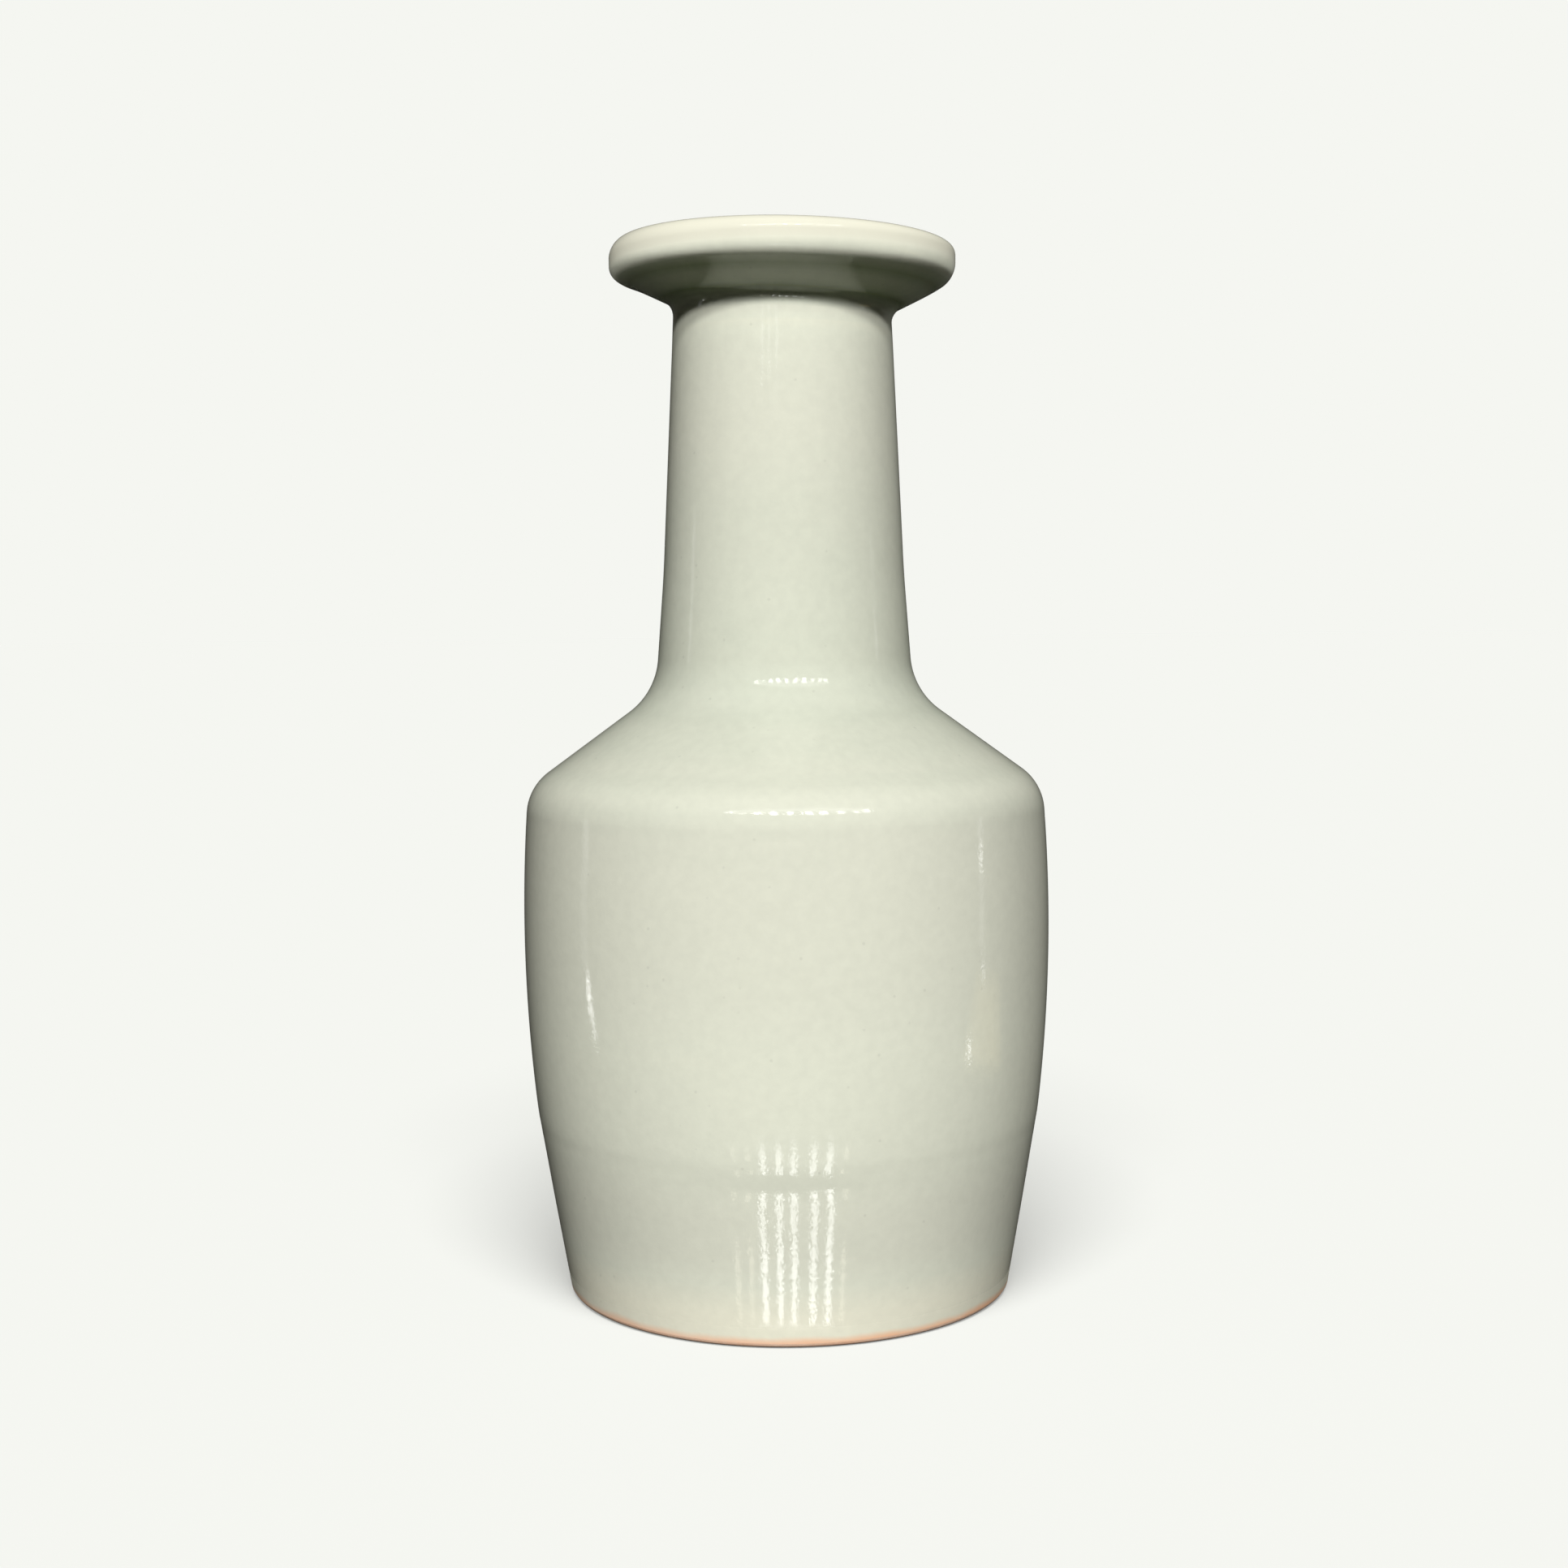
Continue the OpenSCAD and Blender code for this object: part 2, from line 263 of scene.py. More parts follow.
def add_mix(tree, kind, factor, first, second):
    """Socket of a mix from the first to the second, of kind RGBA or FLOAT."""
    mix = add_node(tree, "ShaderNodeMix", {"data_type": kind}, Factor=factor, A=first, B=second)
    return mix.outputs["Result"]


def add_range(tree, value, low, high, to_low=0.0, to_high=1.0, kind="LINEAR"):
    """Socket of a value taken from the span low to high to the span to_low to to_high, and kept within it."""
    span = add_node(tree, "ShaderNodeMapRange", {"interpolation_type": kind}, Value=value,
                    From_Min=low, From_Max=high, To_Min=to_low, To_Max=to_high)
    return span.outputs["Result"]


def new_material(name):
    """New node material with its tree and its Principled shader."""
    made = bpy.data.materials.new(name)
    made.use_nodes = True
    return made, made.node_tree, made.node_tree.nodes["Principled BSDF"]


stoneware_dark = srgb(246, 196, 162)
stoneware_light = srgb(255, 222, 196)
stoneware_grain = 1800.0
# Painted contact shadow: the clay turns dark grey-brown in its lowest 0.6 mm, where it meets the table
painted_rim_shadow = srgb(128, 104, 92)
painted_rim_shadow_low = 0.15 * mm
painted_rim_shadow_high = 0.6 * mm
cloud_share = 0.6
clay_spread = 0.15
clay_relief = 0.05 * mm
clay_roughness = 0.78
clay_shine = 0.25

# Grain of fired clay: grog and sand of about half a millimetre over slow clouds from the kiln
grain_group, grain_in, grain_out = new_group(
    "fired_grain", {"Grain": stoneware_grain, "Clouds": 60.0},
    {"Shade": "NodeSocketFloat", "Height": "NodeSocketFloat"})
place = add_node(grain_group, "ShaderNodeTexCoord").outputs["Object"]
sand = add_noise(grain_group, place, grain_in["Grain"], 3.0)
cloud = add_noise(grain_group, place, grain_in["Clouds"], 2.0)
shade = add_mix(grain_group, "FLOAT", cloud_share, sand, cloud)
grain_group.links.new(shade, grain_out["Shade"])
grain_group.links.new(sand, grain_out["Height"])


def fired_clay(name, dark, light, grain):
    """Matt fired clay between two colours, with its group's grain, and a painted contact shadow where it
    stands.
    """
    made, tree, shader = new_material(name)
    effect = add_node(tree, "ShaderNodeGroup", {"node_tree": grain_group}, Grain=grain).outputs
    spread = add_range(tree, effect["Shade"], 0.5 - clay_spread, 0.5 + clay_spread)
    tone = add_mix(tree, "RGBA", spread, dark, light)
    bump = add_node(tree, "ShaderNodeBump", Strength=0.5, Distance=clay_relief, Height=effect["Height"])
    spot = add_node(tree, "ShaderNodeTexCoord").outputs["Object"]
    level = add_node(tree, "ShaderNodeSeparateXYZ", Vector=spot).outputs["Z"]
    # Painted contact shadow at the bottom of the foot
    tone = add_mix(tree, "RGBA", add_range(tree, level, painted_rim_shadow_low, painted_rim_shadow_high), painted_rim_shadow, tone)
    tree.links.new(tone, shader.inputs["Base Color"])
    tree.links.new(bump.outputs["Normal"], shader.inputs["Normal"])
    shader.inputs["Roughness"].default_value = clay_roughness
    shader.inputs["Specular IOR Level"].default_value = clay_shine
    return made


stoneware = fired_clay("stoneware", stoneware_dark, stoneware_light, stoneware_grain)

lower_body = turned("foot_and_lower_body", lower_line)
lower_body.data.materials.append(stoneware)
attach(lower_body, "root")
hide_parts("lower_body")

# Base disc, upper body, shoulder and neck
# The other thrown sections of the same stoneware, which the glaze covers inside and out.
# Each lower edge has a groove cut round it, and the tongue of the next section sits in the groove.


def dress(names, paint):
    """Gives nodes of the frame their material."""
    for name in names:
        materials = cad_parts[name].data.materials
        materials.clear()
        materials.append(paint)


dress(("base_disc", "upper_body", "shoulder", "neck"), stoneware)

# Slip in the joints
# Thin films of the same clay let down with water, brushed into each groove before the sections are
# pressed home. The one at the floor has a coil pressed into its corner.
slip_grain = 2600.0
slip = fired_clay("slip", srgb(214, 166, 130), srgb(232, 194, 160), slip_grain)
dress(("base_luting", "belly_luting", "shoulder_luting", "neck_luting", "mouth_luting"), slip)

# Dish mouth
# The flared mouth, thrown by itself and set on the neck, which leans a little to the right.
# The hand that pressed it home left the lip level and the underside lower on the right.
neck_wall = 4.6 * mm
dish_wall = 3.6 * mm
dish_round = 1.5 * mm
floor_round = 8.0 * mm
lip_width = 5.4 * mm
lip_round = 3.4 * mm
droop = 1.08 * mm
droop_reach = 2.2 * mm
droop_fade = 10.0 * mm
lean = 0.37 * mm
lean_low = 140.0 * mm
groove_depth = 1.5 * mm
mouth_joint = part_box("dish_mouth")[0].z + groove_depth


def hand_set(points):
    """The mouth as the hand set it: z falls by droop times the cosine of the angle from +X.

    The fall is nothing at the edge of the lip, comes near its full value inwards by an exponential of
    droop_reach, and fades out down the neck over droop_fade. From lean_low up to the top, x grows in
    proportion to height, by lean in all."""
    radius = np.hypot(points[:, 0], points[:, 1])
    side = points[:, 0] / np.maximum(radius, 1e-9)
    inward = 1 - np.exp(-np.maximum(mouth_radius - radius, 0) / droop_reach)
    rise = np.clip((points[:, 2] - (neck_top - droop_fade)) / droop_fade, 0, 1)
    blend = rise * rise * (3 - 2 * rise)
    moved = points.copy()
    moved[:, 2] -= droop * side * inward * blend
    moved[:, 0] += lean * np.clip((points[:, 2] - lean_low) / (height - lean_low), 0, 1)
    return moved


inside_walls = inset(clay_corners[1:10], [body_wall] * 5 + [neck_wall] * 2 + [dish_wall])
throat = inside_walls[-2]
dish_edge = inside_walls[-1]
lip_inner_radius = mouth_radius - glaze_thickness - lip_width
dish_slope = (dish_edge[1] - throat[1]) / (dish_edge[0] - throat[0])
dish_rim = throat[1] + dish_slope * (lip_inner_radius - throat[0])
lip_top = height - glaze_thickness
inside_corners = np.concatenate([
    [[0.0, floor_top, 0.0], [seat_radius, floor_top, floor_round]],
    inside_walls[1:-1],
    [[lip_inner_radius, dish_rim, dish_round],
     [lip_inner_radius, lip_top, lip_round - glaze_thickness],
     [glaze_corners[-1, 0], lip_top, 0.0]]])
inside_line = rounded(inside_corners)
outside_clay_line = rounded(clay_corners[1:])
mouth_line = np.concatenate([
    cut_between(outside_clay_line[:-1], mouth_joint, height)[:-1],
    outside_clay_line[-1:],
    cut_between(inside_line[1:-1], mouth_joint, height)[:-1][::-1]])
dish_mouth = turned("dish_mouth_clay", mouth_line, hand_set)
dish_mouth.data.materials.append(stoneware)
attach(dish_mouth, "root")
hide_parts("dish_mouth")

# Glaze inside
# A coat of the same celadon poured in, turned round and poured out, from the floor to the middle of the
# lip. It is thinner than the outside and pools on the floor and in the throat.
inner_glaze_thickness = 0.5 * mm
inner_back_step = 6
lip_cream = srgb(226, 224, 205)
lip_cream_low = 242.8 * mm
lip_cream_high = 246.4 * mm
pool_smooth = 2.5 * mm
pool_strength = 3.8 * mm
edge_thinning = -0.4
# Painted shade: how much darker green the glaze is made where it faces down, under the mouth
underside_painted_shade = 1.4
seam_wiped = 8.0 * mm

# Colour of the celadon by how deep it gathers, from -1, thin, to 1, deep. The darkest stops also give
# the painted shade under the mouth
celadon_shades = {
    -1.0: srgb(245, 243, 221),
    -0.5: srgb(232, 234, 215),
    0.0: srgb(226, 227, 209),
    0.3: srgb(213, 217, 199),
    1.0: srgb(136, 147, 110)}

# Height in mm, and how much thicker than the mean the coat is set there. This is partly the coat's own
# thickness and partly painted light and shade: painted light low on the wall, as from a bright table,
# painted shade at the edge of the shoulder, and painted light on the neck under the mouth and low on
# the mouth's underside
coat_and_painted_light_by_height = np.array([
    [7.0, -1.0], [12.0, -0.7], [21.0, 0.0], [30.0, 0.0],
    [39.0, -0.45], [66.0, -0.5], [80.0, -0.17], [105.0, 0.0],
    [113.0, 0.06], [119.0, 0.4], [124.0, 0.37], [128.0, 0.12],
    [133.0, 0.2], [138.5, 0.21], [142.0, 0.06], [150.0, 0.08],
    [156.0, 0.22], [190.0, 0.1], [212.0, -0.05], [224.0, -0.25],
    [229.0, -0.7], [235.0, -0.1], [237.0, -0.45], [239.0, -0.32],
    [240.0, 0.0], [243.5, -0.1]])


def add_glaze_depth_and_shading(piece, line):
    """Attribute glaze_depth of a turned piece: how far glaze gathers there, from -1, thin, to 1, deep,
    with painted shade and light added.

    It is the curvature of the line, positive in a hollow and negative on an edge, smoothed along the
    line by a bell curve, times pool_strength. Where the line faces down, painted shade is added: its
    strength times the fourth power of the sine of that slope, which darkens the underside of the mouth.
    At the seam, which was wiped smooth, both fade out. The values listed by height are added to the
    rest: partly the thickness of the coat there, partly painted light and shade."""
    ring = line[1:-1] if line[0, 0] == 0 else line
    step = np.diff(ring, axis=0)
    length = np.maximum(np.linalg.norm(step, axis=1), 1e-9)
    along = np.concatenate([[0], np.cumsum(length)])
    heading = np.unwrap(np.arctan2(step[:, 1], step[:, 0]))
    turn = -np.diff(heading)
    near = np.exp(-0.5 * ((along[:, None] - along[None, 1:-1]) / pool_smooth) ** 2)
    curvature = near @ turn / (pool_smooth * math.sqrt(2 * math.pi))
    facing_down = np.interp(along, (along[1:] + along[:-1]) / 2, np.maximum(0, np.cos(heading)))
    at_seam = np.exp(-((ring[:, 1] - seam_height) / seam_wiped) ** 2)
    # Glaze pooled in hollows, plus painted shade where the line faces down
    gathered_and_shading = np.clip(curvature * pool_strength, edge_thinning, 1) + facing_down ** 4 * underside_painted_shade
    # Thickness of the coat by height, together with painted light and shade
    coat = np.interp(ring[:, 1] / mm, *coat_and_painted_light_by_height.T)
    depth = np.clip(gathered_and_shading * (1 - at_seam) + coat, -1, 1)
    values = np.zeros(len(piece.data.vertices), np.float32)
    values[:len(ring) * turn_columns] = np.repeat(depth, turn_columns)
    piece.data.attributes.new("glaze_depth", "FLOAT", "POINT").data.foreach_set("value", values)


noise_low = 0.3
noise_high = 0.7
drift_share = 0.042
haze_share = 0.023
pit_core = 0.05
pit_rim = 0.14
pit_shade = 0.9
pit_chance_low = 0.82
pit_chance_high = 0.9

# Colour of the celadon: green where it gathers, cream where it thins, with bubbles and pinholes. Its
# depth also carries painted shade and light
tint_group, tint_in, tint_out = new_group(
    "celadon_tint", {"Depth": 0.0, "Clouds": 42.0, "Bubbles": 420.0, "Pinholes": 300.0},
    {"Color": "NodeSocketColor"})
place = add_node(tint_group, "ShaderNodeTexCoord").outputs["Object"]
cloud = add_noise(tint_group, place, tint_in["Clouds"], 4.0)
drift = add_range(tint_group, cloud, noise_low, noise_high, -drift_share, drift_share)
depth = add_node(tint_group, "ShaderNodeMath", {"operation": "ADD"}, i0=tint_in["Depth"], i1=drift)
shades = add_node(tint_group, "ShaderNodeValToRGB", Fac=add_range(tint_group, depth.outputs[0], -1.0, 1.0))
for stop in list(celadon_shades)[1:-1]:
    shades.color_ramp.elements.new((stop + 1) / 2)
for element, colour in zip(shades.color_ramp.elements, celadon_shades.values()):
    element.color = colour
bubble = add_noise(tint_group, place, tint_in["Bubbles"], 3.0)
haze = add_range(tint_group, bubble, noise_low, noise_high, 1 - haze_share, 1 + haze_share)
pits = add_node(tint_group, "ShaderNodeTexVoronoi", Vector=place, Scale=tint_in["Pinholes"]).outputs
chance = add_node(tint_group, "ShaderNodeSeparateColor", Color=pits["Color"]).outputs["Red"]
rare = add_range(tint_group, chance, pit_chance_low, pit_chance_high, 1.0, pit_shade)
speck = add_mix(tint_group, "FLOAT", add_range(tint_group, pits["Distance"], pit_core, pit_rim), rare, 1.0)
factor = add_node(tint_group, "ShaderNodeMath", {"operation": "MULTIPLY"}, i0=haze, i1=speck)
tone = add_node(tint_group, "ShaderNodeVectorMath", {"operation": "SCALE"},
                i0=shades.outputs["Color"], Scale=factor.outputs[0])
tint_group.links.new(tone.outputs["Vector"], tint_out["Color"])

swell_share = 0.4
wave_share = 0.8
skin_relief = 0.0098 * mm
gloss_low = 0.05
gloss_high = 0.1

# Skin of the glaze: the fine ripple that glass freezes with, over longer swells left by the throwing
skin_group, skin_in, skin_out = new_group(
    "glaze_skin", {"Ripple": 1400.0, "Swell": 420.0, "Wave": 130.0},
    {"Height": "NodeSocketFloat", "Roughness": "NodeSocketFloat"})
place = add_node(skin_group, "ShaderNodeTexCoord").outputs["Object"]
skin_height = add_noise(skin_group, place, skin_in["Ripple"], 0.0)
gloss = add_range(skin_group, skin_height, 0.0, 1.0, gloss_low, gloss_high)
for key, share in (("Swell", swell_share), ("Wave", wave_share)):
    longer = add_noise(skin_group, place, skin_in[key], 1.0)
    skin_height = add_node(skin_group, "ShaderNodeMath", {"operation": "MULTIPLY_ADD"},
                           i0=longer, i1=share, i2=skin_height).outputs[0]
skin_group.links.new(skin_height, skin_out["Height"])
skin_group.links.new(gloss, skin_out["Roughness"])


def celadon_glaze(name):
    """Glossy celadon whose colour follows glaze_depth, cream on the lip, with the skin as a faint bump.

    Gives the material, its tree and shader, and the sockets of its colour, roughness, place and height."""
    made, tree, shader = new_material(name)
    # The attribute holds the depth of the glaze together with painted shade and light
    gathered_and_shading = add_node(tree, "ShaderNodeAttribute", {"attribute_name": "glaze_depth"}).outputs["Fac"]
    tint = add_node(tree, "ShaderNodeGroup", {"node_tree": tint_group}, Depth=gathered_and_shading).outputs["Color"]
    skin = add_node(tree, "ShaderNodeGroup", {"node_tree": skin_group}).outputs
    bump = add_node(tree, "ShaderNodeBump", Strength=1.0, Distance=skin_relief, Height=skin["Height"])
    place = add_node(tree, "ShaderNodeTexCoord").outputs["Object"]
    level = add_node(tree, "ShaderNodeSeparateXYZ", Vector=place).outputs["Z"]
    drained = add_range(tree, level, lip_cream_low, lip_cream_high, kind="SMOOTHSTEP")
    tone = add_mix(tree, "RGBA", drained, tint, lip_cream)
    tree.links.new(tone, shader.inputs["Base Color"])
    tree.links.new(skin["Roughness"], shader.inputs["Roughness"])
    tree.links.new(bump.outputs["Normal"], shader.inputs["Normal"])
    return made, tree, shader, tone, skin["Roughness"], place, level


inner_celadon = celadon_glaze("celadon_inside")[0]
inner_coats = [inner_glaze_thickness] * (len(inside_corners) - 2) + [glaze_thickness]
inner_line = np.concatenate([
    [[0.0, floor_top]],
    inside_line[::-inner_back_step][1:-1][::-1],
    rounded(inset(inside_corners, inner_coats), turn_step=math.radians(3.0))[::-1]])
inner_glaze = turned("glaze_inside", inner_line, hand_set)
add_glaze_depth_and_shading(inner_glaze, inner_line)
inner_glaze.data.materials.append(inner_celadon)
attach(inner_glaze, "root")
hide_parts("inner_glaze")

# Glaze outside
# The coat that the vase was dipped in, from just above the foot to the middle of the lip. It gathers
# green in the hollows and thins to cream on the lip. Where it ends it blushes, more on the right.
blush_left = srgb(255, 212, 179)
blush_right = srgb(255, 202, 161)
blush_reach = 25.0 * mm
blush_low = 2.0 * mm
blush_high = 4.1 * mm
ragged_scale = 90.0
ragged_rise = 2.0 * mm
dry_low = 3.8 * mm
dry_high = 6.4 * mm
dry_roughness = 0.35

outer_celadon, tree, shader, tone, gloss, place, level = celadon_glaze("celadon_outside")
ragged = add_noise(tree, place, ragged_scale, 3.0)
edge = add_node(tree, "ShaderNodeMath", {"operation": "MULTIPLY_ADD"}, i0=ragged, i1=ragged_rise, i2=level)
fade = add_range(tree, edge.outputs[0], blush_high, blush_low, kind="SMOOTHSTEP")
side = add_node(tree, "ShaderNodeSeparateXYZ", Vector=place).outputs["X"]
# The blush is paler on the left and deeper on the right
left_to_right = add_range(tree, side, -blush_reach, blush_reach)
blush = add_mix(tree, "RGBA", left_to_right, blush_left, blush_right)
tree.links.new(add_mix(tree, "RGBA", fade, tone, blush), shader.inputs["Base Color"])
dry = add_range(tree, level, dry_high, dry_low, 0.0, dry_roughness, "SMOOTHSTEP")
rough = add_node(tree, "ShaderNodeMath", {"operation": "ADD"}, i0=gloss, i1=dry)
tree.links.new(rough.outputs[0], shader.inputs["Roughness"])

# Height, reach and rise of the soft steps at the seam, at the front and at the sides
ledge_steps = mm * np.array([[39.4, 2.9, 0.66], [54.0, 8.0, -0.38], [30.0, 6.0, -0.28]])
kink_steps = mm * np.array([[42.2, 2.2, 0.16], [30.0, 8.0, -0.16]])
ledge_turn = 20.0
seam_rows = seam_height + np.arange(-12.6, 12.7, 0.6) * mm
seam_margin = 0.2 * mm
outer_back_step = 8


def soft_steps(z, steps):
    """Sum of soft steps, each a height, a reach and a rise.

    Each is half its rise times one plus the hyperbolic tangent of the height from the step in its reach."""
    middle, reach, rise = steps.T
    return (0.5 * rise * (1 + np.tanh((z[:, None] - middle) / reach))).sum(axis=1)


def finished_by_hand(points):
    """The hand-set mouth, and the seam as a finger left it, a soft ledge in front and a kink at the sides.

    The radius grows by the soft steps of ledge_steps and kink_steps, where long steps back take up the
    short one at the seam. A bell curve of the turn from the front blends from the ledge to the kink."""
    radius = np.hypot(points[:, 0], points[:, 1])
    turn = np.degrees(np.arctan2(points[:, 0], -points[:, 1]))
    front = np.exp(-(turn / ledge_turn) ** 2)
    ledge = soft_steps(points[:, 2], ledge_steps)
    kink = soft_steps(points[:, 2], kink_steps)
    moved = points.copy()
    moved[:, :2] *= (1 + (front * ledge + (1 - front) * kink) / radius)[:, None]
    return hand_set(moved)


glaze_line = rounded(glaze_corners)
outer_line = np.concatenate([
    glaze_line[glaze_line[:, 1] < seam_rows[0] - seam_margin],
    np.stack([np.interp(seam_rows, glaze_line[:, 1], glaze_line[:, 0]), seam_rows], axis=1),
    glaze_line[glaze_line[:, 1] > seam_rows[-1] + seam_margin],
    outside_clay_line[::-outer_back_step][:-1],
    outside_clay_line[:1]])
outer_glaze = turned("glaze_outside", outer_line, finished_by_hand)
add_glaze_depth_and_shading(outer_glaze, outer_line)
outer_glaze.data.materials.append(outer_celadon)
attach(outer_glaze, "root")
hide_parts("outer_glaze")

# Glaze under the base
# A thin coat of the same celadon, brushed over the hollow inside the foot ring and wiped off its rim.
# The table hides it while the vase stands.
dress(("base_glaze",), inner_celadon)

# Floor and background
# A pale table and wall of one colour, which the camera sees without a line between them.
# The floor takes the soft shadow of the vase from a light of its own.
pale = srgb(245, 246, 241)
floor_half = 30.0
floor_bounce = srgb(5, 5, 4)
floor_tone = 0.12
shadow_share = 0.66
ambient = 0.05
ambient_tint = srgb(248, 244, 226)

scene = bpy.context.scene
scene.view_settings.view_transform = "Standard"


def add_seen(tree):
    """Mask that is 1 for rays from the camera and for reflected and transmitted ones, 0 for the rest."""
    rays = add_node(tree, "ShaderNodeLightPath").outputs
    seen = rays["Is Camera Ray"]
    for other in ("Is Glossy Ray", "Is Transmission Ray"):
        seen = add_node(tree, "ShaderNodeMath", {"operation": "MAXIMUM"}, i0=seen, i1=rays[other]).outputs[0]
    return seen


def add_stage(name, points, faces, paint):
    """Object of the set, which is not part of the vase."""
    mesh = bpy.data.meshes.new(name)
    mesh.from_pydata(np.asarray(points).tolist(), [], faces)
    mesh.materials.append(paint)
    made = bpy.data.objects.new(name, mesh)
    scene.collection.objects.link(made)
    return made


floor_paint, tree, shader = new_material("pale_floor")
seen = add_seen(tree)
lit = tuple(shadow_share * floor_tone * channel for channel in pale[:3]) + (1.0,)
tree.links.new(add_mix(tree, "RGBA", seen, floor_bounce, lit), shader.inputs["Base Color"])
glow = add_node(tree, "ShaderNodeMath", {"operation": "MULTIPLY"}, i0=seen, i1=1 - shadow_share)
tree.links.new(glow.outputs[0], shader.inputs["Emission Strength"])
shader.inputs["Emission Color"].default_value = pale
shader.inputs["Roughness"].default_value = 1.0
shader.inputs["Specular IOR Level"].default_value = 0.0
floor_corners = floor_half * np.array([[-1, -1, 0], [1, -1, 0], [1, 1, 0], [-1, 1, 0]])
floor = add_stage("floor", floor_corners, [(0, 1, 2, 3)], floor_paint)
floor.visible_glossy = False

world = bpy.data.worlds.new("studio")
world.use_nodes = True
scene.world = world
tree = world.node_tree
back = tree.nodes["Background"]
seen = add_seen(tree)
tree.links.new(add_mix(tree, "RGBA", seen, ambient_tint, pale), back.inputs["Color"])
tree.links.new(add_mix(tree, "FLOAT", seen, ambient, 1.0), back.inputs["Strength"])

# Lights
# A bank of tube lamps in front and above lights the vase, weaker lamps behind and overhead fill in the
# rest, and two narrow strips light the sides of the lip. A light on the floor alone gives its soft shadow.
key_level = 1.18
key_elevation = 31.0
key_turns = (-11.0, 12.5)
key_spread = 5.0
back_lamps = ((149.0, 6.0, 0.36), (-162.0, 12.0, 0.3), (180.0, 18.0, 0.26))
back_spread = 16.0
top_level = 0.18
top_turn = 180.0
top_elevation = 64.0
top_spread = 20.0
strip_level = 0.32
strip_turns = (-75.0, 75.0)
strip_size = Vector((0.1, 0.0082))
strip_distance = 0.12
strip_height = 246.3 * mm
strip_spread = 1.0
floor_elevation = 58.0
floor_spread = 36.0

vase_only = bpy.data.collections.new("all_but_the_floor")
vase_only.objects.link(floor)
vase_only.collection_objects[0].light_linking.link_state = "EXCLUDE"
floor_only = bpy.data.collections.new("the_floor_alone")
floor_only.objects.link(floor)


def add_lamp(name, lamp, turn, elevation, receivers):
    """Lamp that faces the vase from a turn off the front and an elevation, in degrees.

    It lights the receivers alone, and the glaze does not reflect it."""
    made = bpy.data.objects.new(name, lamp)
    made.rotation_euler = (math.radians(90 - elevation), 0, math.radians(turn))
    made.visible_glossy = False
    made.light_linking.receiver_collection = receivers
    scene.collection.objects.link(made)
    return made


def add_sun(name, turn, elevation, spread, level, receivers):
    """Far lamp. At level 1 it shows a colour as written."""
    lamp = bpy.data.lights.new(name, "SUN")
    lamp.energy = level * math.pi
    lamp.angle = math.radians(spread)
    add_lamp(name, lamp, turn, elevation, receivers)


for number, turn in enumerate(key_turns, 1):
    add_sun(f"key_{number}", turn, key_elevation, key_spread, key_level / len(key_turns), vase_only)
for number, (turn, elevation, level) in enumerate(back_lamps, 1):
    add_sun(f"back_{number}", turn, elevation, back_spread, level, vase_only)
add_sun("top", top_turn, top_elevation, top_spread, top_level, vase_only)
for number, turn in enumerate(strip_turns, 1):
    name = f"strip_{number}"
    lamp = bpy.data.lights.new(name, "AREA")
    lamp.shape = "RECTANGLE"
    lamp.size, lamp.size_y = strip_size
    lamp.spread = math.radians(strip_spread)
    lamp.energy = strip_level * math.pi * strip_size.x * strip_size.y
    strip = add_lamp(name, lamp, turn, 0.0, vase_only)
    across = strip_distance * math.sin(math.radians(turn))
    forward = strip_distance * math.cos(math.radians(turn))
    strip.location = (across, -forward, strip_height)
    strip.visible_camera = False
floor_level = (1 / floor_tone - ambient) / math.sin(math.radians(floor_elevation))
add_sun("floor_light", 0.0, floor_elevation, floor_spread, floor_level, floor_only)

# What the glaze reflects
# A dark room, the tubes of the lamp bank with the panel behind them, their image in the table top, and a
# narrow bright gap at each side. The camera does not see these and they light nothing.
room = srgb(38, 38, 34)
white = srgb(255, 255, 255)
warm_white = srgb(255, 246, 226)
door = srgb(255, 232, 165)
room_radius = 5.0
room_step = 15.0
lamp_distance = 2.0
lamp_middle = np.array([0.0, 0.0, 0.1])
table_edge_distance = 0.26
tube_turns = np.array([-27.0, -20.5, -13.5, -6.0, 2.2, 11.0, 19.0, 27.0, 34.5, 40.0])
tube_tilt = -0.045
mirror_turns = np.array([-12.6, -4.7, 2.4, 12.1, 20.0])
mirror_outer_turns = np.array([-26.5, -19.5, 27.5])
mirror_levels = np.array([1.2, 2.6, 4.2, 6.2, 7.0, 9.5, 9.0])
mirror_edges = np.array([-24.2, -24.9, -25.7, -26.6, -27.8, -35.4, -36.9, -39.8])
mirror_width = 2.6

# Name, turns, lowest and highest elevation, width, tilt, colour and level of each row of upright strips
strip_rows = [
    ("tubes", tube_turns[2:7], 36.5, 43.0, 3.4, tube_tilt, white, 15.0),
    ("outer_tubes", tube_turns[[0, 1, 7, 8, 9]], 37.0, 42.5, 3.4, tube_tilt, white, 9.0),
    ("tubes_below", tube_turns[1:4], 15.8, 16.4, 2.4, 0.0, white, 4.5),
    ("outer_tubes_in_table", mirror_outer_turns, -38.6, -35.4, 1.8, 0.0, warm_white, 3.4),
    ("outer_tubes_above_seam", mirror_outer_turns, -28.6, -25.6, 1.8, 0.0, warm_white, 2.4)]
strip_rows += [
    (f"tubes_in_table_{-low:.1f}", mirror_turns, low, high, mirror_width, 0.0, white, level)
    for high, low, level in zip(mirror_edges, mirror_edges[1:], mirror_levels)]

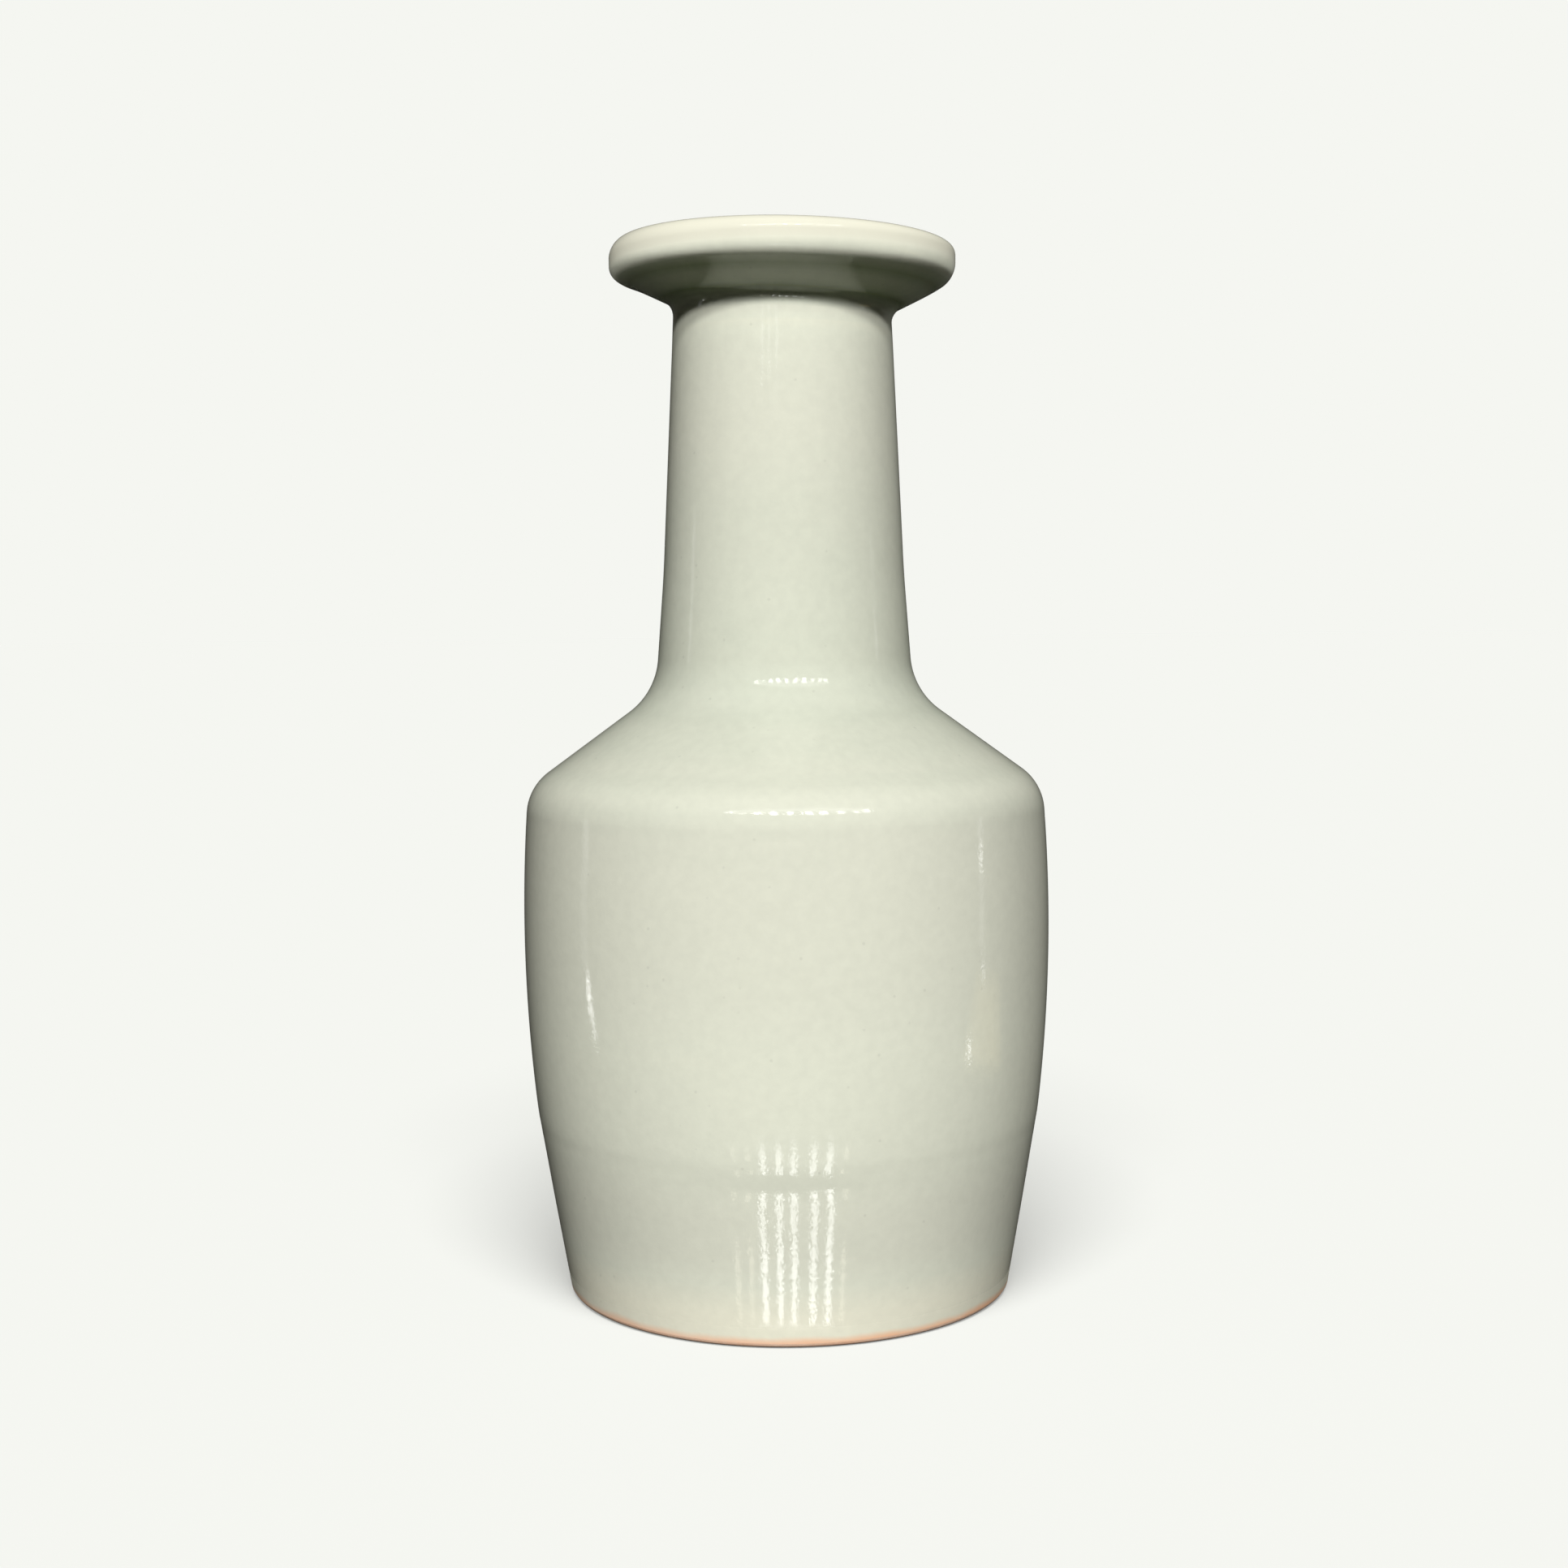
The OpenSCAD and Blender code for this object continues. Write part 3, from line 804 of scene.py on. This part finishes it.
# Name, colour, level, distance against the lamps, and the corners of each patch by turn and elevation
patches = [
    ("lamp_panel", white, 1.6, 1.05, (-30.0, 37.0), (43.0, 37.0), (43.0, 43.0), (-30.0, 43.0)),
    ("gap_left", white, 11.0, 1.0, (-93.9, -12.4), (-91.9, -12.4), (-93.3, -10.4), (-94.1, -10.4)),
    ("gap_left_middle", white, 7.5, 1.0, (-92.3, -14.0), (-90.9, -14.0), (-91.9, -12.4), (-93.9, -12.4)),
    ("gap_left_below", white, 5.0, 1.0, (-90.9, -15.8), (-89.8, -15.8), (-90.9, -14.0), (-92.3, -14.0)),
    ("gap_left_above", white, 0.5, 1.0, (-96.6, -10.0), (-92.8, -10.0), (-92.6, -3.0), (-97.0, -3.0)),
    ("gap_left_top", white, 0.9, 1.0, (-95.6, -3.0), (-92.0, -3.0), (-93.8, 9.0), (-97.4, 9.0)),
    ("gap_right", white, 0.8, 1.0, (88.8, -9.0), (91.2, -9.0), (91.9, 0.0), (89.3, 0.0)),
    ("gap_right_top", white, 1.1, 1.0, (89.3, 0.0), (91.9, 0.0), (93.4, 8.0), (90.8, 8.0)),
    ("gap_right_bright", white, 4.5, 0.95, (89.5, -2.6), (91.7, -2.6), (91.4, -0.8), (89.7, -0.8)),
    ("door_right", door, 0.9, 1.0, (84.0, -17.4), (103.0, -16.8), (98.0, -12.0), (89.0, -11.4)),
    ("door_right_edge", door, 0.6, 1.05, (81.0, -17.8), (107.0, -17.2), (102.0, -10.8), (87.0, -10.4)),
    ("door_top", white, 4.0, 0.95, (90.1, -11.0), (92.1, -11.0), (91.8, -10.2), (90.5, -10.2)),
    ("door_low", white, 10.0, 0.95, (83.5, -17.1), (85.9, -17.1), (85.5, -16.3), (83.9, -16.3))]


def direction(turn, elevation):
    """Unit vectors at turns from the front and elevations, in degrees."""
    turn, elevation = np.radians(np.broadcast_arrays(turn, elevation))
    flat = np.cos(elevation)
    return np.stack([flat * np.sin(turn), -flat * np.cos(turn), np.sin(elevation)], axis=-1)


def glowing(name, colour, level):
    """Paint that gives off an even light and reflects none."""
    made, tree, shader = new_material(name)
    shader.inputs["Base Color"].default_value = (0, 0, 0, 1)
    shader.inputs["Specular IOR Level"].default_value = 0.0
    shader.inputs["Emission Color"].default_value = colour
    shader.inputs["Emission Strength"].default_value = level
    made.cycles.emission_sampling = "NONE"
    return made


def add_glow(name, strips, colour, level, distance=lamp_distance):
    """Bright strips seen only in reflections, each from four corners of turn and elevation on a sphere."""
    strips = np.asarray(strips, float)
    corners = lamp_middle + distance * direction(strips[..., 0], strips[..., 1])
    faces = np.arange(len(strips) * 4).reshape(-1, 4).tolist()
    made = add_stage(name, corners.reshape(-1, 3), faces, glowing(name, colour, level))
    made.visible_camera = False
    made.visible_diffuse = False
    made.visible_transmission = False
    made.visible_volume_scatter = False
    made.visible_shadow = False


def upright(turns, low, high, width, tilt=0.0):
    """Upright strips at turns, between two elevations, which change by tilt for each degree of turn."""
    left = turns - width / 2
    right = turns + width / 2
    bottom = low + tilt * turns
    top = high + tilt * turns
    return np.stack([left, bottom, right, bottom, right, top, left, top], axis=-1).reshape(-1, 4, 2)


room_turns, room_levels = np.meshgrid(
    np.arange(-180.0, 180.0, room_step), np.arange(-90.0, 90.0, room_step), indexing="ij")
room_cell = room_step * np.array([[0, 0], [1, 0], [1, 1], [0, 1]])
room_corners = np.stack([room_turns, room_levels], axis=-1).reshape(-1, 1, 2) + room_cell
add_glow("dark_room", room_corners, room, 1.0, room_radius)
add_glow("table_edge", upright(np.array([-45.0, -15.0, 15.0, 45.0]), -9.0, 16.0, 30.0), room, 1.0,
         table_edge_distance)
for name, turns, low, high, width, tilt, colour, level in strip_rows:
    add_glow(name, upright(turns, low, high, width, tilt), colour, level)
for name, colour, level, share, *corners in patches:
    add_glow(name, [corners], colour, level, lamp_distance * share)

# Camera
# It stands about half a metre in front of the vase, a little over half its height, and looks slightly
# down. Its place, turn and lens are those that fit the outline in the photograph.
camera_place = Vector((0.0, -518.7, 159.5)) * mm
camera_pitch = math.radians(-4.178)
camera_yaw = math.radians(0.033)
camera_roll = math.radians(-0.524)
focal_length = 2647.6
frame_width = 1932.0
camera_data = bpy.data.cameras.new("camera")
camera_data.sensor_width = 36.0
camera_data.lens = camera_data.sensor_width * focal_length / frame_width
camera = bpy.data.objects.new("camera", camera_data)
camera.matrix_world = (
    Matrix.Translation(camera_place)
    @ Matrix.Rotation(camera_yaw, 4, "Z")
    @ Matrix.Rotation(math.pi / 2 + camera_pitch, 4, "X")
    @ Matrix.Rotation(camera_roll, 4, "Z"))
scene.collection.objects.link(camera)
scene.camera = camera
